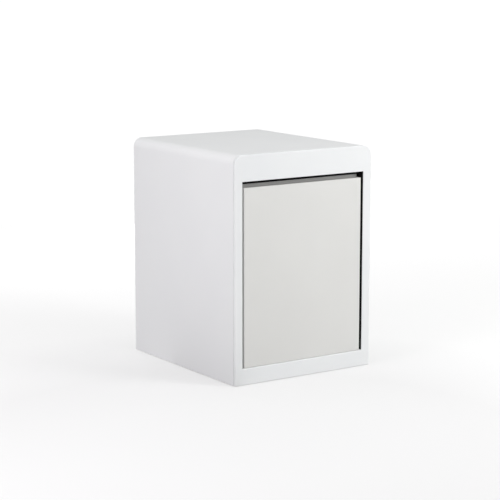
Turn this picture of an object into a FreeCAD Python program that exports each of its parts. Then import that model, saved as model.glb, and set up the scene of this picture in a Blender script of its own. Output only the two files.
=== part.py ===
import FreeCAD, Part
import os
from math import pi, sqrt

# Single-compartment parcel locker. Millimetres. X runs to the right as seen from the front,
# Y runs from front to back, Z runs up from the floor. The origin is under the middle of the cabinet.

# ---- driving dimensions -------------------------------------------------------------------------
width = 450.0
depth = 524.0
height = 620.0
corner_radius = 25.0          # outer bend along the two long top edges
casing_sheet = 1.5
fascia_sheet = 2.0
frame_sheet = 1.5             # stop frame, posts, liners, ceiling, floor, base
door_sheet = 1.2
standing_gap = 2.0            # casing edge above the floor, made up by the glides
seam_gap = 3.0                # shadow groove between fascia and casing
rim_depth = 5.0               # fascia folded back round its outline
rim_round = 2.5               # outer bend of that rim
edge_round = 1.0              # softened edge of the opening and of the door
sill_return = 22.0            # lower edge of the opening folded back under the door
sill_bend = 3.5               # outer bend of that fold
flange_width = 18.0           # inward returns of the casing and of the fascia

latch_stile = 23.9            # fascia beside the door opening, lock side
hinge_stile = 26.5            # and hinge side
top_rail = 71.0               # fascia above the door opening
sill_height = 46.4            # floor to the lower edge of the door opening

door_recess = 0.5             # door face behind the fascia face
door_body = 19.5              # door face to the front of the inner panel
latch_gap = 5.8               # opening edge to the door's free edge
hinge_gap = 8.6               # opening edge to the door's hinge edge
bottom_gap = 0.8              # sill to the door's bottom edge
finger_gap = 16.4             # opening edge down to the top edge of the door face
panel_rise = 7.6              # inner panel standing above the door face
grip_depth = 28.0             # height of the finger channel behind the top edge
hem_width = 4.0
stiffener_width = 40.0
stiffener_foot = 12.0

pivot_inset = 10.0            # pivot line from the door's right edge and from its face
pin_radius = 4.0
pin_length = 30.0
pin_head_radius = 7.0
pin_head_height = 3.0
running_clearance = 0.05
fit_clearance = 0.05
washer_clearance = 0.5        # thrust washer in the sill
tongue_clearance = 0.5        # bracket tongues to the sill and to the pivot block
bracket_thickness = 4.0
bracket_nose = 7.0            # bracket metal round the pin
bracket_arm_half = 5.0
bracket_leg = 36.0
bracket_leg_half = 10.0
upper_tongue_drop = 11.0      # door's top edge down to the upper tongue
notch_room = 1.0              # room round a tongue where it passes through sheet
block_half = 9.0              # pivot block beside the pin
block_height = 26.0

door_swing_room = 4.8         # inner panel's back to the stop frame
seal_width = 6.0
seal_standoff = 0.3
mouth_stile = 62.0            # casing's side in to the compartment mouth
mouth_bottom = 58.0
mouth_top_drop = 29.0         # top of the opening down to the compartment mouth
post_clear = 1.5              # post behind the opening's edge
liner_step = 2.0              # liner behind the edge of the mouth
shelf_step = 2.0              # ceiling and floor behind the edge of the mouth

mat_thickness = 4.0
mat_rib = 1.5
mat_rib_pitch = 14.0
mat_margin = 6.0

lock_height = 310.0
bolt_radius = 4.5
bolt_travel = 9.5
bolt_depth = 42.0             # fascia face back to the bolt's axis
tongue_thickness = 3.0
tongue_inset = 15.0           # door's left edge to the striker tongue
tongue_half = 10.0
window_half = 6.5
tongue_swing = 3.5            # room for the tongue beside the lock as the door swings
lock_half = 26.0
lock_back = 58.0
motor_radius = 7.0
motor_length = 16.0
motor_drop = 14.0
screw_thread_radius = 1.5
arm_width = 4.0
arm_clearance = 2.5           # bolt's arm, drawn back, to the lock case
motor_clearance = 2.2         # bolt's arm, thrown, to the motor

glide_radius = 14.0
glide_stem = 4.0
glide_inset_x = 45.0
glide_inset_y = 62.0
anchor_inset_x = 95.0
anchor_inset_y = 92.0
anchor_radius = 5.5
access_radius = 14.0
wall_hole_radius = 4.5
wall_hole_inset_x = 105.0
wall_hole_low = 130.0
wall_hole_high = 470.0
base_flange = 30.0

louvre_count = 7
louvre_length = 70.0
louvre_width = 4.0
louvre_pitch = 9.0
louvre_drop = 72.0            # top of the cabinet down to the lowest louvre
cable_x = 140.0
cable_drop = 60.0
cable_radius = 6.0
grommet_radius = 11.0
grommet_flange = 14.0
grommet_lip = 1.6

controller_width = 120.0
controller_depth = 84.0
controller_height = 30.0
controller_wall = 2.0
controller_x = -70.0
boss_radius = 4.0
boss_height = 6.0
board_thickness = 1.6
lead_radius = 2.5
lead_bend = 34.0
lead_standoff = 22.5          # left liner out to the lead
clip_height = 8.0
clip_wall = 2.0

screw_head_radius = 3.5
screw_head_height = 1.9
screw_radius = 2.0
screw_length = 8.0
socket_depth = 1.0

# ---- derived planes -----------------------------------------------------------------------------
half = width / 2
front = -depth / 2
back = depth / 2
opening_left = -half + latch_stile
opening_right = half - hinge_stile
opening_top = height - top_rail
door_left = opening_left + latch_gap
door_right = opening_right - hinge_gap
door_bottom = sill_height + bottom_gap
door_top = opening_top - finger_gap
panel_top = door_top + panel_rise
face_y = front + door_recess
panel_y = face_y + door_body
door_back_y = panel_y + door_sheet
pivot_x = door_right - pivot_inset
pivot_y = face_y + pivot_inset
frame_y = door_back_y + door_swing_room
bulkhead_y = frame_y + frame_sheet
mouth_half = half - mouth_stile
mouth_top = opening_top - mouth_top_drop
post_outer = half - casing_sheet - frame_sheet - 1.0
post_foot_z = standing_gap + fascia_sheet
liner_inner = mouth_half + liner_step
liner_outer = liner_inner + frame_sheet
ceiling_z = mouth_top + shelf_step
floor_z = mouth_bottom - shelf_step
back_panel_out = back - 2.0
back_panel_in = back_panel_out - frame_sheet
rear_flange_y = back_panel_in - casing_sheet
sill_flange_z = standing_gap + casing_sheet
pan_top = sill_flange_z + frame_sheet
pan_front = bulkhead_y + 0.5
tongue_x = door_left + tongue_inset
lock_right = tongue_x - tongue_swing
lock_left = -post_outer
bolt_y = front + bolt_depth
lock_back_y = front + lock_back


def spot(x, y, z):
    return FreeCAD.Vector(x, y, z)


def block(x0, x1, y0, y1, z0, z1):
    return Part.makeBox(x1 - x0, y1 - y0, z1 - z0, spot(x0, y0, z0))


def rod(radius, x, y, z, direction, length):
    return Part.makeCylinder(radius, length, spot(x, y, z), spot(*direction))


def arch(half_width, bottom, top, radius, near, far):
    """Upright slab with a flat foot and two round top corners."""
    inset = radius * (1 - sqrt(0.5))
    left = -half_width
    right = half_width
    outline = [
        Part.LineSegment(spot(left, near, bottom), spot(left, near, top - radius)),
        Part.Arc(spot(left, near, top - radius), spot(left + inset, near, top - inset),
                 spot(left + radius, near, top)),
        Part.LineSegment(spot(left + radius, near, top), spot(right - radius, near, top)),
        Part.Arc(spot(right - radius, near, top), spot(right - inset, near, top - inset),
                 spot(right, near, top - radius)),
        Part.LineSegment(spot(right, near, top - radius), spot(right, near, bottom)),
        Part.LineSegment(spot(right, near, bottom), spot(left, near, bottom)),
    ]
    wire = Part.Wire([edge.toShape() for edge in outline])
    return Part.Face(wire).extrude(spot(0, far - near, 0))


def joined(shapes):
    whole = shapes[0].multiFuse(shapes[1:]) if len(shapes) > 1 else shapes[0]
    return whole.removeSplitter()


def front_edges(shape, plane_y):
    """Edges that lie in the plane y = plane_y."""
    found = []
    for edge in shape.Edges:
        box = edge.BoundBox
        if abs(box.YMin - plane_y) < 1e-4 and abs(box.YMax - plane_y) < 1e-4:
            found.append(edge)
    return found


def mirrored(shape):
    return shape.mirror(spot(0, 0, 0), spot(1, 0, 0))


def both_sides(shape):
    """The shape and its mirror image across the middle of the cabinet."""
    return [shape, mirrored(shape)]


def screw(x, y, z, direction, length=screw_length):
    """Button-head screw: the head stands on the given point, the shank runs along direction."""
    way = spot(*direction)
    seat = spot(x, y, z)
    head = Part.makeCylinder(screw_head_radius, screw_head_height, seat - way * screw_head_height, way)
    shank = Part.makeCylinder(screw_radius, length, seat, way)
    socket = Part.makeCylinder(screw_radius * 0.75, socket_depth, seat - way * screw_head_height, way)
    return head.fuse(shank).cut(socket)


def screw_hole(x, y, z, direction, length=screw_length):
    way = spot(*direction)
    return Part.makeCylinder(screw_radius + fit_clearance, length + 2, spot(x, y, z) - way, way)


def save(name, shapes):
    solids = []
    for shape in shapes:
        solids.extend(shape.Solids)
    whole = solids[0] if len(solids) == 1 else Part.makeCompound(solids)
    if not whole.isValid():
        raise ValueError(name + " is not a valid shape")
    whole.exportStep("parts/" + name + ".step")
    print(name, len(solids), "solids", round(whole.Volume / 1000, 2), "cm3")


# ---- outer casing -------------------------------------------------------------------------------
def back_screw_places():
    """Screws along both sides and the top of the back panel."""
    line = half - casing_sheet - flange_width / 2
    rows = [height * share for share in (0.12, 0.38, 0.64, 0.90)]
    places = [(side * line, row) for row in rows for side in (-1, 1)]
    top = height - casing_sheet - flange_width / 2
    places += [(x, top) for x in (-width / 6, width / 6)]
    return places


def casing_wrap():
    near = front + rim_depth + seam_gap
    shell = arch(half, standing_gap, height, corner_radius, near, back)
    inner_radius = corner_radius - casing_sheet
    shell = shell.cut(arch(half - casing_sheet, standing_gap - 1, height - casing_sheet,
                           inner_radius, near - 1, back + 1))
    foot = block(-half, -half + casing_sheet + flange_width, near, rear_flange_y, standing_gap, sill_flange_z)
    rear = arch(half - casing_sheet, standing_gap, height - casing_sheet, inner_radius,
                rear_flange_y, back_panel_in)
    rear = rear.cut(arch(half - casing_sheet - flange_width, standing_gap - 1,
                         height - casing_sheet - flange_width, max(inner_radius - flange_width, 1.0),
                         rear_flange_y - 1, back_panel_in + 1))
    wrap = joined([shell, rear] + both_sides(foot))
    for x, z in back_screw_places():
        wrap = wrap.cut(screw_hole(x, back_panel_out, z, (0, -1, 0)))
    return wrap


def rim_edges(shape):
    """The front edges round the outline, but not along the foot."""
    return [edge for edge in front_edges(shape, front) if edge.BoundBox.ZMax > standing_gap + 1]


def opening_edges(shape):
    """The front edges up both sides and across the top of the door opening."""
    return [edge for edge in front_edges(shape, front)
            if edge.BoundBox.XMin > opening_left - 1 and edge.BoundBox.XMax < opening_right + 1
            and edge.BoundBox.ZMax > sill_height + 1]


def front_fascia():
    """Folded tray: flat face, rim round the outline, sill under the door, and a ring inside the casing."""
    sheet = fascia_sheet
    tray = arch(half, standing_gap, height, corner_radius, front, front + rim_depth)
    tray = tray.makeFillet(rim_round, rim_edges(tray))
    tray = tray.cut(arch(half - sheet, standing_gap + sheet, height - sheet, corner_radius - sheet,
                         front + sheet, front + rim_depth + 1))
    tray = tray.cut(block(opening_left, opening_right, front - 1, front + sheet + 1,
                          sill_height, opening_top))
    tray = tray.makeFillet(edge_round, opening_edges(tray))
    sill = block(opening_left, opening_right, front, front + sill_return, sill_height - sheet, sill_height)
    bend = block(opening_left, opening_right, front - 1, front + sill_bend,
                 sill_height - sill_bend, sill_height + 1)
    bend = bend.cut(rod(sill_bend, opening_left - 1, front + sill_bend, sill_height - sill_bend,
                        (1, 0, 0), opening_right - opening_left + 2))
    tray = joined([tray, sill]).cut(bend)
    inner = half - casing_sheet
    ring_back = front + rim_depth + seam_gap + flange_width
    ring = arch(inner, sill_flange_z + 0.5, height - casing_sheet, corner_radius - casing_sheet,
                front + sheet, ring_back)
    ring = ring.cut(arch(inner - frame_sheet, standing_gap, height - casing_sheet - frame_sheet,
                         corner_radius - casing_sheet - frame_sheet, front + sheet - 1, ring_back + 1))
    foot_half = half - casing_sheet - flange_width - 1
    foot = block(-foot_half, foot_half, front + sheet, pan_front + 12, standing_gap, sill_flange_z)
    fascia = joined([tray, ring, foot])
    return fascia.cut(rod(pin_head_radius + washer_clearance, pivot_x, pivot_y, sill_height - sheet - 1,
                          (0, 0, 1), sheet + 2))


def back_panel():
    panel = arch(half - casing_sheet - 0.3, standing_gap, height - casing_sheet - 0.3,
                 corner_radius - casing_sheet - 0.3, back_panel_in, back_panel_out)
    cuts = [screw_hole(x, back_panel_out, z, (0, -1, 0)) for x, z in back_screw_places()]
    for x in (-half + wall_hole_inset_x, half - wall_hole_inset_x):
        for z in (wall_hole_low, wall_hole_high):
            cuts.append(rod(wall_hole_radius, x, back_panel_in - 1, z, (0, 1, 0), frame_sheet + 2))
    for row in range(louvre_count):
        z = height - louvre_drop + row * louvre_pitch
        for x in (-louvre_length * 0.65, louvre_length * 0.65):
            run = louvre_length / 2 - louvre_width / 2
            slot = block(x - run, x + run, back_panel_in - 1, back_panel_out + 1,
                         z - louvre_width / 2, z + louvre_width / 2)
            ends = [rod(louvre_width / 2, x + side * run, back_panel_in - 1, z, (0, 1, 0), frame_sheet + 2)
                    for side in (-1, 1)]
            cuts.append(slot.multiFuse(ends))
    cuts.append(rod(grommet_radius, cable_x, back_panel_in - 1, height - cable_drop,
                    (0, 1, 0), frame_sheet + 2))
    for cut in cuts:
        panel = panel.cut(cut)
    return panel


def cable_grommet():
    z = height - cable_drop
    outer_lip = min(grommet_lip, back - back_panel_out)
    body = rod(grommet_radius, cable_x, back_panel_in, z, (0, 1, 0), frame_sheet)
    inner = rod(grommet_flange, cable_x, back_panel_in - grommet_lip, z, (0, 1, 0), grommet_lip)
    outer = rod(grommet_flange, cable_x, back_panel_out, z, (0, 1, 0), outer_lip)
    ring = joined([body, inner, outer])
    return ring.cut(rod(cable_radius, cable_x, back_panel_in - grommet_lip - 1, z, (0, 1, 0), 20))


def back_screws():
    return [screw(x, back_panel_out, z, (0, -1, 0)) for x, z in back_screw_places()]


# ---- base ---------------------------------------------------------------------------------------
def corner_places(inset_x, inset_y):
    return [(x, y) for x in (-half + inset_x, half - inset_x) for y in (front + inset_y, back - inset_y)]


def base_pan():
    outer = post_outer
    pan = block(-outer, outer, pan_front, rear_flange_y, sill_flange_z, pan_top + base_flange)
    pan = pan.cut(block(-outer + frame_sheet, outer - frame_sheet, pan_front + frame_sheet,
                        rear_flange_y - frame_sheet, pan_top, pan_top + base_flange + 1))
    for x, y in corner_places(anchor_inset_x, anchor_inset_y):
        pan = pan.cut(rod(anchor_radius, x, y, sill_flange_z - 1, (0, 0, 1), frame_sheet + 2))
    for x, y in corner_places(glide_inset_x, glide_inset_y):
        pan = pan.cut(rod(glide_stem + fit_clearance, x, y, sill_flange_z - 1, (0, 0, 1), frame_sheet + 2))
    return pan


def floor_glides():
    glides = []
    for x, y in corner_places(glide_inset_x, glide_inset_y):
        pad = rod(glide_radius, x, y, 0, (0, 0, 1), sill_flange_z)
        pad = pad.makeChamfer(0.6, [edge for edge in pad.Edges if edge.BoundBox.ZMax < 0.1])
        stem = rod(glide_stem, x, y, sill_flange_z, (0, 0, 1), frame_sheet + 6)
        glides.append(pad.fuse(stem))
    return glides


# ---- door surround ------------------------------------------------------------------------------
upper_tongue_z = door_top - upper_tongue_drop
lower_tongue_z = sill_height - fascia_sheet - tongue_clearance - bracket_thickness


def post(opening_edge):
    """Folded channel behind the hinge stile; its web faces the door's edge."""
    top = height - casing_sheet - corner_radius
    near = front + fascia_sheet
    inner = opening_edge + post_clear
    web = block(inner, inner + frame_sheet, near, frame_y, post_foot_z, top)
    fronts = block(inner, post_outer, near, near + frame_sheet, post_foot_z, top)
    rear = block(inner, post_outer, frame_y - frame_sheet, frame_y, post_foot_z, top)
    return joined([web, fronts, rear])


def stop_frame():
    """Bulkhead that the door closes against, with the mouth of the compartment."""
    top = height - casing_sheet - corner_radius
    plate = block(-post_outer, post_outer, frame_y, bulkhead_y, sill_flange_z, top)
    plate = plate.cut(block(-mouth_half, mouth_half, frame_y - 1, bulkhead_y + 1, mouth_bottom, mouth_top))
    plate = plate.cut(block(lock_right - 1.5, tongue_x + tongue_thickness + 2.5, frame_y - 1, bulkhead_y + 1,
                            lock_height - tongue_half - 3, lock_height + tongue_half + 3))
    for tongue_z in (upper_tongue_z, lower_tongue_z):
        plate = plate.cut(block(pivot_x - bracket_arm_half, pivot_x + bracket_arm_half,
                                frame_y - 1, bulkhead_y + 1, tongue_z, tongue_z + bracket_thickness))
    for x, y, z in bracket_screw_places():
        plate = plate.cut(screw_hole(x, y, z, (0, -1, 0), bracket_screw_length))
    return plate


def door_seal():
    outer = mouth_half + seal_width
    near = door_back_y + seal_standoff
    ring = block(-outer, outer, near, frame_y, mouth_bottom - seal_width, mouth_top + seal_width)
    ring = ring.cut(block(-mouth_half, mouth_half, near - 1, frame_y + 1, mouth_bottom, mouth_top))
    return ring.makeFillet(1.5, front_edges(ring, near))


bracket_screw_length = bracket_thickness + frame_sheet


def bracket_screw_places():
    """Two screws through each bracket's leg, from behind, into the bulkhead."""
    return [(pivot_x, bulkhead_y + bracket_thickness, tongue_z + bracket_thickness + rise)
            for tongue_z in (upper_tongue_z, lower_tongue_z) for rise in (12.0, 24.0)]


def hinge_bracket(tongue_z):
    """Steel angle: a tongue reaches forward through the bulkhead to the pin, a leg stands behind it."""
    nose = rod(bracket_nose, pivot_x, pivot_y, tongue_z, (0, 0, 1), bracket_thickness)
    arm = block(pivot_x - bracket_arm_half, pivot_x + bracket_arm_half, pivot_y,
                bulkhead_y + bracket_thickness, tongue_z, tongue_z + bracket_thickness)
    leg = block(pivot_x - bracket_leg_half, pivot_x + bracket_leg_half, bulkhead_y,
                bulkhead_y + bracket_thickness, tongue_z, tongue_z + bracket_leg)
    angle = joined([nose, arm, leg])
    angle = angle.cut(rod(pin_radius + fit_clearance, pivot_x, pivot_y, tongue_z - 1,
                          (0, 0, 1), bracket_thickness + 2))
    for x, y, z in bracket_screw_places():
        angle = angle.cut(screw_hole(x, y, z, (0, -1, 0), bracket_screw_length))
    return angle


def pivot_pins():
    upper_top = upper_tongue_z + bracket_thickness
    upper = rod(pin_radius, pivot_x, pivot_y, upper_top - pin_length, (0, 0, 1), pin_length)
    upper_head = rod(pin_head_radius, pivot_x, pivot_y, upper_top, (0, 0, 1), pin_head_height)
    lower = rod(pin_radius, pivot_x, pivot_y, lower_tongue_z, (0, 0, 1), pin_length)
    lower_head = rod(pin_head_radius, pivot_x, pivot_y, lower_tongue_z - pin_head_height,
                     (0, 0, 1), pin_head_height)
    return [upper.fuse(upper_head), lower.fuse(lower_head)]


def thrust_washer():
    """Nylon ring between the lower tongue and the door, through the sill."""
    bottom = lower_tongue_z + bracket_thickness
    ring = rod(pin_head_radius, pivot_x, pivot_y, bottom, (0, 0, 1), door_bottom - bottom)
    return ring.cut(rod(pin_radius + running_clearance, pivot_x, pivot_y, bottom - 1,
                        (0, 0, 1), door_bottom - bottom + 2))


def bracket_screws():
    return [screw(x, y, z, (0, -1, 0), bracket_screw_length) for x, y, z in bracket_screw_places()]


# ---- compartment --------------------------------------------------------------------------------
def liner(side):
    top = ceiling_z + frame_sheet + 14
    near = bulkhead_y
    panel = block(liner_inner, liner_outer, near, back_panel_in, pan_top, top)
    notch = block(liner_inner - 1, liner_outer + 1, near - 1, pan_front + frame_sheet + 0.3,
                  pan_top - 1, pan_top + base_flange + 0.3)
    rear_notch = block(liner_inner - 1, liner_outer + 1, rear_flange_y - frame_sheet - 0.3,
                       back_panel_in + 1, pan_top - 1, pan_top + base_flange + 0.3)
    panel = panel.cut(notch).cut(rear_notch)
    return panel if side > 0 else mirrored(panel)


def ceiling_panel():
    plate = block(-liner_inner, liner_inner, bulkhead_y, back_panel_in, ceiling_z, ceiling_z + frame_sheet)
    flange = block(liner_inner - frame_sheet, liner_inner, bulkhead_y, back_panel_in,
                   ceiling_z, ceiling_z + frame_sheet + 14)
    return joined([plate] + both_sides(flange))


def compartment_floor():
    front_y = bulkhead_y
    plate = block(-liner_inner, liner_inner, front_y, back_panel_in, floor_z - frame_sheet, floor_z)
    leg = block(liner_inner - frame_sheet, liner_inner, pan_front + frame_sheet + 0.5,
                rear_flange_y - frame_sheet - 0.5, pan_top, floor_z)
    floor = joined([plate] + both_sides(leg))
    for x, y in corner_places(anchor_inset_x, anchor_inset_y):
        floor = floor.cut(rod(access_radius, x, y, floor_z - frame_sheet - 1, (0, 0, 1), frame_sheet + 2))
    return floor


def floor_mat():
    mat_half = liner_inner - mat_margin
    near = bulkhead_y + mat_margin
    far = back_panel_in - mat_margin
    mat = block(-mat_half, mat_half, near, far, floor_z, floor_z + mat_thickness - mat_rib)
    ribs = []
    rib_count = int((far - near - mat_rib_pitch) / mat_rib_pitch) + 1
    first = (near + far) / 2 - (rib_count - 1) * mat_rib_pitch / 2
    for index in range(rib_count):
        middle = first + index * mat_rib_pitch
        ribs.append(block(-mat_half, mat_half, middle - mat_rib_pitch / 4, middle + mat_rib_pitch / 4,
                          floor_z + mat_thickness - mat_rib, floor_z + mat_thickness))
    return joined([mat] + ribs)


# ---- electronics --------------------------------------------------------------------------------
controller_z = ceiling_z + frame_sheet
controller_near = -controller_depth / 2
controller_left = controller_x - controller_width / 2
board_z = controller_z + controller_wall + boss_height
lead_y = bolt_y
lead_level = controller_z + controller_height * 0.6
lock_top_z = lock_height + lock_half
lead_x = -liner_outer - lead_standoff


def controller_box(x0, x1, y0, y1, z0, z1, wall):
    tray = block(x0, x1, y0, y1, z0, z1)
    return tray.cut(block(x0 + wall, x1 - wall, y0 + wall, y1 - wall, z0 + wall, z1 + 1))


def boss_places():
    inset = controller_wall + boss_radius + 3
    return [(x, y)
            for x in (controller_left + inset, controller_left + controller_width - inset)
            for y in (controller_near + inset, controller_near + controller_depth - inset)]


def controller_case():
    case = controller_box(controller_left, controller_left + controller_width, controller_near,
                          controller_near + controller_depth, controller_z,
                          controller_z + controller_height, controller_wall)
    bosses = [rod(boss_radius, x, y, controller_z + controller_wall, (0, 0, 1), boss_height)
              for x, y in boss_places()]
    case = joined([case] + bosses)
    return case.cut(rod(lead_radius + fit_clearance, controller_left - 1, 0, lead_level,
                        (1, 0, 0), controller_wall + 2))


def controller_lid():
    top = controller_z + controller_height
    lid = block(controller_left, controller_left + controller_width, controller_near,
                controller_near + controller_depth, top, top + controller_wall)
    upper = [edge for edge in lid.Edges if edge.BoundBox.ZMin > top + controller_wall - 0.01]
    return lid.makeFillet(controller_wall * 0.6, upper)


def circuit_board():
    gap = controller_wall + 1.5
    board = block(controller_left + gap, controller_left + controller_width - gap, controller_near + gap,
                  controller_near + controller_depth - gap, board_z, board_z + board_thickness)
    top = board_z + board_thickness
    chips = []
    for share_x, share_y, size_x, size_y, rise in ((0.32, 0.35, 16, 16, 2.0), (0.62, 0.35, 12, 20, 3.0),
                                                   (0.45, 0.72, 24, 10, 8.0), (0.78, 0.72, 9, 12, 6.0)):
        x = controller_left + controller_width * share_x
        y = controller_near + controller_depth * share_y
        chips.append(block(x - size_x / 2, x + size_x / 2, y - size_y / 2, y + size_y / 2, top, top + rise))
    return joined([board] + chips)


def lead_wire():
    """The lock's lead: up from the lock, back to the middle of the bay, then across to the controller."""
    turn = spot(lead_x, lead_y, lead_level)
    start = spot(lead_x, lead_y, lock_top_z)
    first = turn - spot(0, 0, lead_bend)
    second = turn + spot(0, lead_bend, 0)
    corner = spot(lead_x, 0, lead_level)
    third = corner - spot(0, lead_bend, 0)
    fourth = corner + spot(lead_bend, 0, 0)
    end = spot(controller_left + controller_wall, 0, lead_level)
    inset = lead_bend * (1 - sqrt(0.5))
    edges = [
        Part.LineSegment(start, first),
        Part.Arc(first, turn + spot(0, inset, -inset), second),
        Part.LineSegment(second, third),
        Part.Arc(third, corner + spot(inset, -inset, 0), fourth),
        Part.LineSegment(fourth, end),
    ]
    return Part.Wire([edge.toShape() for edge in edges])


def lock_lead():
    path = lead_wire()
    section = Part.Wire([Part.Circle(spot(lead_x, lead_y, lock_top_z), spot(0, 0, 1), lead_radius).toShape()])
    tube = path.makePipeShell([section], True, False)
    expected = pi * lead_radius ** 2 * path.Length
    print("lock lead: bends", lead_bend, "volume", round(tube.Volume), "expected", round(expected))
    return tube


def lead_clips():
    """Two clips that hold the lead to the outside of the left liner."""
    clips = []
    reach = lead_radius + clip_wall
    run = lead_level - lead_bend - lock_top_z
    for share in (0.25, 0.75):
        z = lock_top_z + run * share - clip_height / 2
        clip = block(lead_x - reach, -liner_outer, lead_y - reach, lead_y + reach, z, z + clip_height)
        clips.append(clip.cut(rod(lead_radius + fit_clearance, lead_x, lead_y, z - 1,
                                  (0, 0, 1), clip_height + 2)))
    return clips


# ---- lock ---------------------------------------------------------------------------------------
def lock_case():
    case = block(lock_left, lock_right, bulkhead_y, lock_back_y, lock_height - lock_half, lock_top_z)
    wall = frame_sheet
    case = case.cut(block(lock_left + wall, lock_right - wall, bulkhead_y + wall, lock_back_y + 1,
                          lock_height - lock_half + wall, lock_top_z - wall))
    case = case.cut(rod(bolt_radius + running_clearance, lock_right - wall - 1, bolt_y, lock_height,
                        (1, 0, 0), wall + 2))
    return case


def lock_lid():
    return block(lock_left, lock_right, lock_back_y, lock_back_y + frame_sheet,
                 lock_height - lock_half, lock_top_z)


arm_left = lock_left + frame_sheet + arm_clearance
motor_left = arm_left + arm_width + bolt_travel + motor_clearance
motor_right = motor_left + motor_length


def lock_motor():
    z = lock_height - motor_drop
    body = rod(motor_radius, motor_left, bolt_y, z, (1, 0, 0), motor_length)
    spindle = rod(screw_thread_radius, lock_left + frame_sheet, bolt_y, z, (1, 0, 0),
                  motor_left - lock_left - frame_sheet)
    cradle = block(motor_left + 2, motor_right, bolt_y - motor_radius, bolt_y + motor_radius,
                   lock_height - lock_half + frame_sheet, z - motor_radius * 0.6)
    return joined([body, spindle, cradle])


def lock_bolt():
    bar = rod(bolt_radius, arm_left, bolt_y, lock_height, (1, 0, 0), lock_right - arm_left)
    tip = [edge for edge in bar.Edges if edge.BoundBox.XMin > lock_right - 0.01]
    bar = bar.makeChamfer(1.0, tip)
    arm = block(arm_left, arm_left + arm_width, bolt_y - 3.5, bolt_y + 3.5,
                lock_height - motor_drop - 4, lock_height)
    bolt = bar.fuse(arm).removeSplitter()
    return bolt.cut(rod(screw_thread_radius + running_clearance, arm_left - 1, bolt_y,
                        lock_height - motor_drop, (1, 0, 0), arm_width + 2))


def door_switch():
    x = lock_right - 8
    z = lock_height + lock_half + 22
    body = block(x - 5, x + 5, bulkhead_y, bulkhead_y + 6, z - 12, z + 12)
    return body.makeFillet(1.0, [edge for edge in body.Edges if edge.BoundBox.YMin > bulkhead_y + 5.9])


# ---- door ---------------------------------------------------------------------------------------
def door_skin():
    """Folded tray: face, two sides, bottom return and a hemmed top edge."""
    tray = block(door_left, door_right, face_y, panel_y, door_bottom, door_top)
    tray = tray.makeFillet(edge_round, front_edges(tray, face_y))
    sheet = door_sheet
    tray = tray.cut(block(door_left + sheet, door_right - sheet, face_y + sheet, panel_y + 1,
                          door_bottom + sheet, door_top - sheet))
    tray = tray.cut(block(door_left + sheet, door_right - sheet, face_y + sheet + hem_width, panel_y + 1,
                          door_top - sheet - 1, door_top + 1))
    tray = tray.cut(block(pivot_x + bracket_nose, door_right + 1, face_y + sheet + 0.5, panel_y + 1,
                          upper_tongue_z - notch_room, upper_tongue_z + bracket_thickness + notch_room))
    return tray.cut(rod(pin_radius + 0.6, pivot_x, pivot_y, door_bottom - 1, (0, 0, 1), sheet + 2))


def door_inner_panel():
    """Flat back of the door, slotted at the hinge side for the upper bracket."""
    panel = block(door_left, door_right, panel_y, door_back_y, door_bottom, panel_top)
    return panel.cut(block(pivot_x - bracket_arm_half - notch_room, door_right + 1,
                           panel_y - 1, door_back_y + 1,
                           upper_tongue_z - notch_room, upper_tongue_z + bracket_thickness + notch_room))


grip_floor = door_top - grip_depth


def grip_channel():
    """Finger channel behind the top edge of the door."""
    near = face_y + door_sheet
    left = door_left + door_sheet
    right = pivot_x - block_half
    floor = block(left, right, near, panel_y, grip_floor - door_sheet, grip_floor)
    rear = block(left, right, panel_y - door_sheet, panel_y, grip_floor, door_top - 4)
    lip = block(left, right, near, near + door_sheet, grip_floor, grip_floor + 9)
    return joined([floor, rear, lip])


def door_stiffener():
    """Hat channel up the middle of the door, open towards the face."""
    near = face_y + door_sheet
    low = door_bottom + 14
    high = grip_floor - door_sheet - 8
    reach = stiffener_width / 2
    web = block(-reach, reach, panel_y - door_sheet, panel_y, low, high)
    wall = block(reach - door_sheet, reach, near, panel_y, low, high)
    foot = block(reach, reach + stiffener_foot, near, near + door_sheet, low, high)
    return joined([web] + both_sides(wall) + both_sides(foot))


def pivot_blocks():
    """Bored blocks inside the door, one under the upper tongue and one on the bottom return."""
    near = face_y + door_sheet
    right = door_right - door_sheet
    blocks = []
    for low in (door_bottom + door_sheet, upper_tongue_z - tongue_clearance - block_height):
        body = block(pivot_x - block_half, right, near, panel_y, low, low + block_height)
        blocks.append(body.cut(rod(pin_radius + running_clearance, pivot_x, pivot_y, low - 1,
                                   (0, 0, 1), block_height + 2)))
    return blocks


def striker():
    """Angle on the back of the door; the lock's bolt passes through the tongue's window."""
    plate = block(tongue_x - 11, tongue_x + tongue_thickness, door_back_y, door_back_y + 2.0,
                  lock_height - 20, lock_height + 20)
    end_y = bolt_y + window_half + 4
    tongue = block(tongue_x, tongue_x + tongue_thickness, door_back_y, end_y,
                   lock_height - tongue_half, lock_height + tongue_half)
    window = block(tongue_x - 1, tongue_x + tongue_thickness + 1, bolt_y - window_half, bolt_y + window_half,
                   lock_height - window_half, lock_height + window_half)
    return joined([plate, tongue]).cut(window)


def door_buffers():
    x = -mouth_half - seal_width - 9
    reach = door_swing_room - seal_standoff
    pads = []
    for z in (mouth_bottom + 30, mouth_top - 30):
        pad = rod(4.0, x, door_back_y, z, (0, 1, 0), reach)
        pads.append(pad.makeFillet(1.0, [edge for edge in pad.Edges
                                         if edge.BoundBox.YMin > door_back_y + reach - 0.01]))
    return pads


def door_magnet():
    x = lock_right - 8
    z = lock_height + lock_half + 22
    return block(x - 4, x + 4, door_back_y, door_back_y + 3.0, z - 8, z + 8)


os.makedirs("parts", exist_ok=True)

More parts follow.
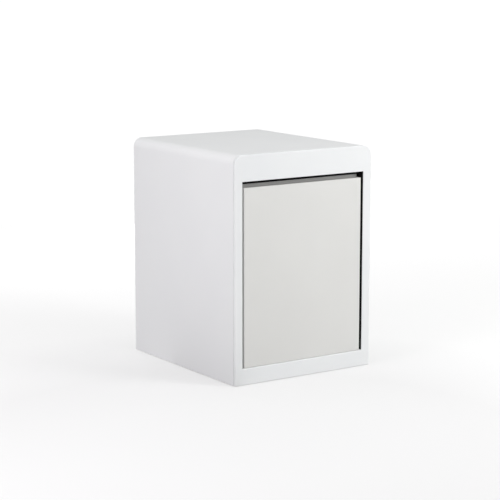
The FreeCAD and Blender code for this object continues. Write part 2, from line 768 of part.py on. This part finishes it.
save("casing_wrap", [casing_wrap()])
save("front_fascia", [front_fascia()])
save("back_panel", [back_panel()])
save("cable_grommet", [cable_grommet()])
save("back_screws", back_screws())
save("base_pan", [base_pan()])
save("floor_glides", floor_glides())
save("hinge_post", [post(opening_right)])
save("lock_post", [mirrored(post(-opening_left))])
save("stop_frame", [stop_frame()])
save("door_seal", [door_seal()])
save("upper_hinge_bracket", [hinge_bracket(upper_tongue_z)])
save("lower_hinge_bracket", [hinge_bracket(lower_tongue_z)])
save("pivot_pins", pivot_pins())
save("thrust_washer", [thrust_washer()])
save("bracket_screws", bracket_screws())
save("left_liner", [liner(-1)])
save("right_liner", [liner(1)])
save("ceiling_panel", [ceiling_panel()])
save("compartment_floor", [compartment_floor()])
save("floor_mat", [floor_mat()])
save("controller_case", [controller_case()])
save("controller_lid", [controller_lid()])
save("circuit_board", [circuit_board()])
save("lock_lead", [lock_lead()])
save("lead_clips", lead_clips())
save("lock_case", [lock_case()])
save("lock_lid", [lock_lid()])
save("lock_motor", [lock_motor()])
save("lock_bolt", [lock_bolt()])
save("door_switch", [door_switch()])
save("door_skin", [door_skin()])
save("door_inner_panel", [door_inner_panel()])
save("grip_channel", [grip_channel()])
save("door_stiffener", [door_stiffener()])
save("pivot_blocks", pivot_blocks())
save("striker", [striker()])
save("door_buffers", door_buffers())
save("door_magnet", [door_magnet()])
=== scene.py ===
import bpy
import bmesh
from math import cos, pi, radians, sin
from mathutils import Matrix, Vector


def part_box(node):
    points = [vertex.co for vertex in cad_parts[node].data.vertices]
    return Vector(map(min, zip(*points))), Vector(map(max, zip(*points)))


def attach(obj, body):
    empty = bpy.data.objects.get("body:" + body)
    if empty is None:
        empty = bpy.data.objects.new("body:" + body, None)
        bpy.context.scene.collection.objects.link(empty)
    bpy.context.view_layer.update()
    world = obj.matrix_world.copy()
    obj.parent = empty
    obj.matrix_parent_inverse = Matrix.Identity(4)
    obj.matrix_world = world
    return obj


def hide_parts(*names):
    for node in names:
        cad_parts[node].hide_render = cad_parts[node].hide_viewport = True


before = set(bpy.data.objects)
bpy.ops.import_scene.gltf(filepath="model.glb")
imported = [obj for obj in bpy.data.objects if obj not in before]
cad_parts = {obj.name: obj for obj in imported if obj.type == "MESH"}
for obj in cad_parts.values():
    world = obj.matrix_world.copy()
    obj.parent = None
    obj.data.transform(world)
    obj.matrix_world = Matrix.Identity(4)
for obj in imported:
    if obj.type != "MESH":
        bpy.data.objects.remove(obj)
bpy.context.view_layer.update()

MM = 0.001


# ---- colours and nodes --------------------------------------------------------------------------
def linear(hex_text):
    """A linear colour, with alpha, from an sRGB hex value."""
    channels = []
    for start in (0, 2, 4):
        value = int(hex_text[start:start + 2], 16) / 255
        channels.append(value / 12.92 if value <= 0.04045 else ((value + 0.055) / 1.055) ** 2.4)
    return (*channels, 1.0)


def add(tree, kind, settings=None, links=None):
    """One node, with its settings and the sockets that feed it."""
    node = tree.nodes.new(kind)
    for name, value in (settings or {}).items():
        if name in node.inputs:
            node.inputs[name].default_value = value
        else:
            setattr(node, name, value)
    for name, source in (links or {}).items():
        tree.links.new(source, node.inputs[name])
    return node


def per_metre(millimetres):
    """Texture scale that makes one feature about this many millimetres across."""
    return 1000.0 / millimetres


def new_material(name):
    """An empty node material."""
    material = bpy.data.materials.new(name)
    material.use_nodes = True
    material.node_tree.nodes.clear()
    return material


def surface(material, shader):
    """Joins the shader to the material's output."""
    tree = material.node_tree
    add(tree, "ShaderNodeOutputMaterial", links={"Surface": shader.outputs[0]})
    return material


def spread(tree, source, low, high):
    """The texture value, brought from its usual 0.3 to 0.7 into the range low to high."""
    node = add(tree, "ShaderNodeMapRange", {"From Min": 0.3, "From Max": 0.7, "To Min": low, "To Max": high},
               {"Value": source})
    return node.outputs["Result"]


def two_tone(tree, factor, first, second):
    """A colour that goes from the first shade to the second."""
    ramp = add(tree, "ShaderNodeValToRGB", links={"Fac": factor})
    ramp.color_ramp.elements[0].color = linear(first)
    ramp.color_ramp.elements[1].color = linear(second)
    return ramp.outputs["Color"]


# ---- finishes -----------------------------------------------------------------------------------
def powder_coat(name, colour, cloud, edge, roughness, peel_mm, peel_height_mm, gloss_level=0.5):
    """Polyester powder, sprayed and baked on sheet steel. The film flows into a faint orange peel, it is a
    shade uneven from one hand's width to the next, and its colour goes lighter along sharp edges as a painted
    highlight."""
    patch_mm = 180
    bend, sharp_edge = 0.53, 0.62    # Pointiness on a gentle bend and on a cut edge
    strongest_edge_highlight = 0.5
    gloss_swing = 0.03
    material = new_material(name)
    tree = material.node_tree
    place = add(tree, "ShaderNodeTexCoord").outputs["Object"]
    patches = add(tree, "ShaderNodeTexNoise", {"Scale": per_metre(patch_mm), "Detail": 2.0},
                  {"Vector": place})
    # The peel is about 2 mm across on the real film; it is drawn coarser so that it shows.
    peel = add(tree, "ShaderNodeTexNoise", {"Scale": per_metre(peel_mm), "Detail": 3.0, "Roughness": 0.45},
               {"Vector": place})
    film = two_tone(tree, spread(tree, patches.outputs["Fac"], 0.0, 1.0), cloud, colour)
    # Painted highlight: where the surface is sharply convex the colour moves towards the lighter edge shade.
    corner = add(tree, "ShaderNodeNewGeometry").outputs["Pointiness"]
    edge_highlight_share = add(tree, "ShaderNodeMapRange",
               {"From Min": bend, "From Max": sharp_edge, "To Min": 0.0, "To Max": strongest_edge_highlight},
               {"Value": corner})
    edge_highlighted_film = add(tree, "ShaderNodeMix", {"data_type": "RGBA"},
               {"Factor": edge_highlight_share.outputs["Result"], "A": film})
    edge_highlighted_film.inputs["B"].default_value = linear(edge)
    bump = add(tree, "ShaderNodeBump", {"Strength": 0.35, "Distance": peel_height_mm * MM},
               {"Height": peel.outputs["Fac"]})
    gloss = spread(tree, patches.outputs["Fac"], roughness - gloss_swing, roughness + gloss_swing)
    shader = add(tree, "ShaderNodeBsdfPrincipled", {"IOR": 1.5, "Specular IOR Level": gloss_level},
                 {"Base Color": edge_highlighted_film.outputs["Result"], "Roughness": gloss, "Normal": bump.outputs["Normal"]})
    return surface(material, shader)


def plated_steel(name, bright, dull, roughness, grain_mm, stretch):
    """Zinc or nickel plate over steel: a metal with fine drawn lines and a cloudy, slightly uneven shine."""
    cloud_mm = 14
    line_depth = 0.05 * MM
    smoother, rougher = 0.06, 0.08
    material = new_material(name)
    tree = material.node_tree
    place = add(tree, "ShaderNodeTexCoord").outputs["Object"]
    drawn = add(tree, "ShaderNodeMapping", {"Scale": stretch}, {"Vector": place})
    lines = add(tree, "ShaderNodeTexNoise", {"Scale": per_metre(grain_mm), "Detail": 4.0},
                {"Vector": drawn.outputs["Vector"]})
    clouds = add(tree, "ShaderNodeTexNoise", {"Scale": per_metre(cloud_mm), "Detail": 2.0}, {"Vector": place})
    tone = two_tone(tree, spread(tree, clouds.outputs["Fac"], 0.0, 1.0), dull, bright)
    bump = add(tree, "ShaderNodeBump", {"Strength": 0.2, "Distance": line_depth},
               {"Height": lines.outputs["Fac"]})
    gloss = spread(tree, lines.outputs["Fac"], roughness - smoother, roughness + rougher)
    shader = add(tree, "ShaderNodeBsdfPrincipled", {"Metallic": 1.0},
                 {"Base Color": tone, "Roughness": gloss, "Normal": bump.outputs["Normal"]})
    return surface(material, shader)


def moulded(name, colour, dusty, roughness, grain_mm, grain_height_mm, ior):
    """Moulded or extruded polymer: dull, finely grained, a little paler where it is handled or dusty."""
    patch_mm = 35
    gloss_swing = 0.05
    material = new_material(name)
    tree = material.node_tree
    place = add(tree, "ShaderNodeTexCoord").outputs["Object"]
    grain = add(tree, "ShaderNodeTexVoronoi", {"Scale": per_metre(grain_mm)}, {"Vector": place})
    patches = add(tree, "ShaderNodeTexNoise", {"Scale": per_metre(patch_mm), "Detail": 4.0},
                  {"Vector": place})
    tone = two_tone(tree, spread(tree, patches.outputs["Fac"], 0.0, 1.0), colour, dusty)
    bump = add(tree, "ShaderNodeBump", {"Strength": 0.4, "Distance": grain_height_mm * MM},
               {"Height": grain.outputs["Distance"]})
    gloss = spread(tree, patches.outputs["Fac"], roughness - gloss_swing, roughness + gloss_swing)
    shader = add(tree, "ShaderNodeBsdfPrincipled", {"IOR": ior},
                 {"Base Color": tone, "Roughness": gloss, "Normal": bump.outputs["Normal"]})
    return surface(material, shader)


# White polyester powder on the casing: bright, even, satin.
casing_coat = powder_coat("powder_coated_steel_white", "F2F4F4", "EFF1F2", "F8F9F9", 0.58, 7.0, 0.05, 0.22)
# The door's powder is a warmer, greyer shade with a slightly rougher, finer-textured film.
door_coat = powder_coat("powder_coated_steel_warm_grey", "E3E3E0", "E0E0DD", "EAEAE8", 0.50, 5.0, 0.06)
# Mid grey powder on the back of the door and the grip channel, darker than the door's own paint: painted
# shade, so that the strip above the door's top edge reads as a shadow line.
painted_shade_panel_coat = powder_coat("powder_coated_steel_painted_shade_grey", "969694", "929290", "A4A4A2", 0.52, 5.0, 0.06)
# Dead-matt black powder on the surround: hides the gap round the door.
surround_coat = powder_coat("powder_coated_steel_black", "121213", "0F0F10", "232324", 0.82, 5.0, 0.08, 0.2)
# Pale grey powder inside the compartment.
liner_coat = powder_coat("powder_coated_steel_pale_grey", "D3D5D7", "CFD1D3", "DCDEDF", 0.48, 6.0, 0.05)
# Blue-white zinc on the folded brackets and the base: cloudy, half bright.
zinc_sheet = plated_steel("zinc_plated_sheet_steel", "C3C5C8", "A9ACB0", 0.38, 1.5, (1.0, 12.0, 1.0))
# Nickel on turned pins, screws and the bolt: brighter, lines run round the turning.
turned_steel = plated_steel("nickel_plated_turned_steel", "CFCDC8", "B4B2AE", 0.26, 1.0, (1.0, 1.0, 10.0))
# Extruded EPDM: near black, soft sheen, faint bloom.
seal_rubber = moulded("extruded_epdm_rubber", "18181A", "242426", 0.62, 1.2, 0.03, 1.5)
# Pressed nitrile rubber of the mat: dark grey, dusty between the ribs.
mat_rubber = moulded("pressed_nitrile_rubber", "3C3E41", "505256", 0.74, 2.0, 0.08, 1.5)
# Injection-moulded ABS with a spark-eroded grain.
abs_black = moulded("moulded_abs_black", "1B1C1E", "252628", 0.45, 1.0, 0.04, 1.53)
# Machined nylon: waxy off-white.
nylon = moulded("machined_nylon_natural", "E2DFD2", "D8D4C6", 0.40, 1.5, 0.02, 1.53)
# Solder mask over glass-fibre board.
solder_mask = moulded("glass_fibre_board_solder_mask", "12512F", "1A6239", 0.32, 2.5, 0.03, 1.5)
# PVC jacket on the lock's lead.
lead_jacket = moulded("pvc_cable_jacket_black", "1A1A1B", "262627", 0.40, 1.5, 0.02, 1.53)

finish_of_node = {
    "casing_wrap": casing_coat,
    "front_fascia": casing_coat,
    "back_panel": casing_coat,
    "cable_grommet": seal_rubber,
    "back_screws": turned_steel,
    "base_pan": zinc_sheet,
    "floor_glides": abs_black,
    "hinge_post": surround_coat,
    "lock_post": casing_coat,
    "stop_frame": surround_coat,
    "door_seal": seal_rubber,
    "upper_hinge_bracket": surround_coat,
    "lower_hinge_bracket": surround_coat,
    "pivot_pins": turned_steel,
    "thrust_washer": nylon,
    "bracket_screws": turned_steel,
    "left_liner": liner_coat,
    "right_liner": liner_coat,
    "ceiling_panel": liner_coat,
    "compartment_floor": liner_coat,
    "floor_mat": mat_rubber,
    "controller_case": abs_black,
    "controller_lid": abs_black,
    "circuit_board": solder_mask,
    "lock_lead": lead_jacket,
    "lead_clips": abs_black,
    "lock_case": zinc_sheet,
    "lock_lid": zinc_sheet,
    "lock_motor": turned_steel,
    "lock_bolt": turned_steel,
    "door_switch": abs_black,
    "door_skin": door_coat,
    # Painted shade: the door's back and grip channel are mid grey so the strip above the door reads as
    # shadow.
    "door_inner_panel": painted_shade_panel_coat,
    "grip_channel": painted_shade_panel_coat,
    "door_stiffener": zinc_sheet,
    "pivot_blocks": nylon,
    "striker": zinc_sheet,
    "door_buffers": seal_rubber,
    "door_magnet": turned_steel,
}

for node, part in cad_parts.items():
    part.data.materials.clear()
    part.data.materials.append(finish_of_node[node])


# ---- new pieces ---------------------------------------------------------------------------------
def piece_from(name, mesh_maker, finish, body):
    """A mesh object made by mesh_maker(bm), finished and riding on a body."""
    bm = bmesh.new()
    mesh_maker(bm)
    bmesh.ops.recalc_face_normals(bm, faces=bm.faces)
    mesh = bpy.data.meshes.new(name)
    bm.to_mesh(mesh)
    bm.free()
    piece = bpy.data.objects.new(name, mesh)
    bpy.context.scene.collection.objects.link(piece)
    mesh.materials.append(finish)
    for polygon in mesh.polygons:
        polygon.use_smooth = True
    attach(piece, body)
    return piece


def round_rectangle(half_x, half_z, middle_z, radius, y, steps=8):
    """Points round an upright rectangle with round corners, seen from the front."""
    points = []
    for quarter, (side_x, side_z) in enumerate(((1, 1), (-1, 1), (-1, -1), (1, -1))):
        for step in range(steps + 1):
            angle = (quarter + step / steps) * pi / 2
            points.append((side_x * (half_x - radius) + radius * cos(angle), y,
                           middle_z + side_z * (half_z - radius) + radius * sin(angle)))
    return points


def bulb_seal():
    """Extruded door seal: a flat foot with a raised round bulb, mitred round the compartment mouth."""
    low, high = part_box("door_seal")
    foot_width = 6.0 * MM
    foot_height = 1.4 * MM
    rise = high[1] - low[1]
    inner_x = high[0] - foot_width
    inner_z = (high[2] - low[2]) / 2 - foot_width
    middle_z = (high[2] + low[2]) / 2
    inner_corner = 2.0 * MM
    bulb = foot_width / 2 - 0.4 * MM
    centre = rise - bulb
    # The bulb is a little more than half round, so that it tucks in over its foot.
    tuck = 0.12
    arc_steps = 12
    section = [(0.0, 0.0), (0.0, foot_height)]
    for step in range(arc_steps + 1):
        angle = pi * (1 + tuck - (1 + 2 * tuck) * step / arc_steps)
        section.append((foot_width / 2 + bulb * cos(angle), centre + bulb * sin(angle)))
    section += [(foot_width, foot_height), (foot_width, 0.0)]

    def make(bm):
        loops = []
        for out, forward in section:
            ring = round_rectangle(inner_x + out, inner_z + out, middle_z, inner_corner + out,
                                   high[1] - forward)
            loops.append([bm.verts.new(point) for point in ring])
        count = len(loops[0])
        for index, loop in enumerate(loops):
            following = loops[(index + 1) % len(loops)]
            for step in range(count):
                after = (step + 1) % count
                bm.faces.new((loop[step], loop[after], following[after], following[step]))

    seal = piece_from("bulb_seal", make, seal_rubber, "cabinet")
    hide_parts("door_seal")


def ribbed_mat():
    """Pressed rubber mat: round ribs from side to side inside a plain border."""
    low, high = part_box("floor_mat")
    border = 7.0 * MM
    pitch = 7.0 * MM
    rib = 1.5 * MM
    rib_half_width = 0.30 * pitch
    rib_steps = 6
    chamfer = 1.0 * MM
    top = high[2] - rib
    span = high[1] - low[1] - 2 * border
    count = int(span / pitch)
    start = (low[1] + high[1] - count * pitch) / 2
    outline = [(low[1], low[2]), (low[1], top - chamfer), (low[1] + chamfer, top)]
    for index in range(count):
        middle = start + (index + 0.5) * pitch
        for step in range(rib_steps + 1):
            angle = pi * (1 - step / rib_steps)
            outline.append((middle + rib_half_width * cos(angle), top + rib * sin(angle)))
    outline += [(high[1] - chamfer, top), (high[1], top - chamfer), (high[1], low[2])]

    def make(bm):
        left = [bm.verts.new((low[0], y, z)) for y, z in outline]
        right = [bm.verts.new((high[0], y, z)) for y, z in outline]
        for index in range(len(outline)):
            after = (index + 1) % len(outline)
            bm.faces.new((left[index], left[after], right[after], right[index]))
        bm.faces.new(left)
        bm.faces.new(right)

    mat = piece_from("ribbed_mat", make, mat_rubber, "cabinet")
    mat.data.shade_flat()
    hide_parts("floor_mat")


bulb_seal()
ribbed_mat()


# ---- studio -------------------------------------------------------------------------------------
def floor_plane(name, material, level, low=(-120.0, -120.0), high=(120.0, 120.0)):
    """A level rectangle of studio floor between two corners."""
    mesh = bpy.data.meshes.new(name)
    mesh.from_pydata([(low[0], low[1], level), (high[0], low[1], level), (high[0], high[1], level),
                      (low[0], high[1], level)], [], [(0, 1, 2, 3)])
    mesh.materials.append(material)
    floor = bpy.data.objects.new(name, mesh)
    bpy.context.scene.collection.objects.link(floor)
    return floor


def matt_paper(name, tone_low, tone_high, dim_place=(0.0, 0.0, 0.0), glow_rings=((0.5, 0.0), (5.0, 0.0))):
    """Seamless background paper: quite matt, a touch uneven, and it glows by itself: painted light, set by
    distance from dim_place. Each ring of glow is a distance in metres and its strength."""
    material = new_material(name)
    tree = material.node_tree
    place = add(tree, "ShaderNodeTexCoord").outputs["Object"]
    patches = add(tree, "ShaderNodeTexNoise", {"Scale": 0.6, "Detail": 2.0}, {"Vector": place})
    tone = two_tone(tree, spread(tree, patches.outputs["Fac"], 0.0, 1.0), tone_low, tone_high)
    reach = add(tree, "ShaderNodeVectorMath", {"operation": "DISTANCE"}, {0: place})
    reach.inputs[1].default_value = dim_place
    furthest = glow_rings[-1][0]
    share = add(tree, "ShaderNodeMapRange", {"From Min": 0.0, "From Max": furthest},
                {"Value": reach.outputs["Value"]})
    glow = add(tree, "ShaderNodeValToRGB", links={"Fac": share.outputs["Result"]})
    stops = glow.color_ramp.elements
    while len(stops) < len(glow_rings):
        stops.new(0.5)
    # All places first, then the strengths, because a stop that moves may change its number.
    for stop, (distance, _) in zip(stops, glow_rings):
        stop.position = distance / furthest
    for stop, (_, strength) in zip(stops, glow_rings):
        stop.color = (strength, strength, strength, 1.0)
    shader = add(tree, "ShaderNodeBsdfPrincipled",
                 {"Roughness": 1.0, "Specular IOR Level": 0.0, "Emission Strength": 1.0},
                 {"Base Color": tone, "Emission Color": glow.outputs["Color"]})
    return surface(material, shader)


def studio_floor():
    """A bright sheet that the camera sees, whose own glow is painted light, weakest near the locker as a
    painted shadow, and a dimmer one under it that throws light back up.
    """
    bounce_level = -0.5 * MM
    dimmest = (-0.5, -0.7, 0.0)
    # Painted light on the seen floor: its glow is weakest round dimmest, by the locker's front left, as
    # painted shade there, and grows further out.
    rings = ((0.36, 0.415), (0.70, 0.398), (1.20, 0.515), (2.20, 0.570), (4.50, 0.74))
    paper = matt_paper("studio_paper", "B8B8B8", "BABABA", dimmest, rings)
    seen = floor_plane("studio_floor", paper, 0.0)
    seen.visible_diffuse = False
    seen.visible_glossy = False
    seen.visible_shadow = False
    bounce_paper = matt_paper("studio_bounce_paper", "B0B0B0", "B2B2B2")
    bounce = floor_plane("studio_bounce", bounce_paper, bounce_level)
    bounce.visible_camera = False
    bounce.visible_shadow = False


def grey_card():
    """A dark card on the floor by the front of the left side. It takes bounced light off the side's
    foot and isn't seen itself."""
    card_level = -0.3 * MM
    paper = matt_paper("grey_card_paper", "7C7C7C", "7E7E7E")
    card = floor_plane("studio_card", paper, card_level, (-0.80, -0.48), (-0.20, 0.05))
    card.visible_camera = False
    card.visible_shadow = False


def sky(overhead):
    """Soft light from above that fades out at the horizon, in front of a plain white backdrop."""
    world = bpy.data.worlds.new("studio_surround")
    bpy.context.scene.world = world
    world.use_nodes = True
    tree = world.node_tree
    tree.nodes.clear()
    way = add(tree, "ShaderNodeTexCoord").outputs["Generated"]
    parts = add(tree, "ShaderNodeSeparateXYZ", links={"Vector": way})
    strength = add(tree, "ShaderNodeMapRange",
                   {"From Min": 0.0, "From Max": 1.0, "To Min": 0.0, "To Max": overhead},
                   {"Value": parts.outputs["Z"]})
    glow = add(tree, "ShaderNodeBackground", {"Color": (1.0, 1.0, 1.0, 1.0)},
               {"Strength": strength.outputs["Result"]})
    backdrop = add(tree, "ShaderNodeBackground", {"Color": (1.0, 1.0, 1.0, 1.0), "Strength": 1.0})
    direct = add(tree, "ShaderNodeLightPath").outputs["Is Camera Ray"]
    both = add(tree, "ShaderNodeMixShader", links={"Fac": direct})
    tree.links.new(glow.outputs["Background"], both.inputs[1])
    tree.links.new(backdrop.outputs["Background"], both.inputs[2])
    add(tree, "ShaderNodeOutputWorld", links={"Surface": both.outputs["Shader"]})


def soft_box(name, place, target, size, power, colour="FFFFFF"):
    """Square studio light, aimed at a point: its side in metres and its power in watts."""
    light = bpy.data.lights.new(name, "AREA")
    light.size = size
    light.energy = power
    light.color = linear(colour)[:3]
    lamp = bpy.data.objects.new(name, light)
    bpy.context.scene.collection.objects.link(lamp)
    lamp.location = place
    lamp.rotation_euler = (Vector(target) - Vector(place)).to_track_quat("-Z", "Y").to_euler()


def camera():
    """Long lens, low three-quarter view from the front left, tilted a little down."""
    tilt_down = 9.978
    turn_right = 33.951
    data = bpy.data.cameras.new("camera")
    data.sensor_width = 36.0
    data.lens = 122.41
    data.clip_end = 500.0
    view = bpy.data.objects.new("camera", data)
    bpy.context.scene.collection.objects.link(view)
    view.location = (-2.6488, -3.9331, 1.1452)
    view.rotation_euler = (radians(90 - tilt_down), 0.0, radians(-turn_right))
    bpy.context.scene.camera = view


def lamps():
    """A large key light at the front right, a fill at the left, and two weak lights for the back."""
    middle = (0.0, 0.0, 0.35)
    soft_box("front_box", (2.0, -3.0, 1.3), middle, 1.6, 55.2)
    soft_box("near_front_box", (1.0, -1.8, 1.3), middle, 0.6, 7.0)
    soft_box("left_box", (-2.6, -0.6, 1.0), middle, 1.4, 32.8, "FFFBFF")
    soft_box("back_right_box", (1.6, 1.8, 2.4), middle, 1.2, 2.0)
    soft_box("back_box", (0.6, 2.4, 0.33), middle, 0.5, 9.0)


studio_floor()
grey_card()
sky(0.946)
lamps()
camera()
bpy.context.scene.view_settings.view_transform = "Standard"
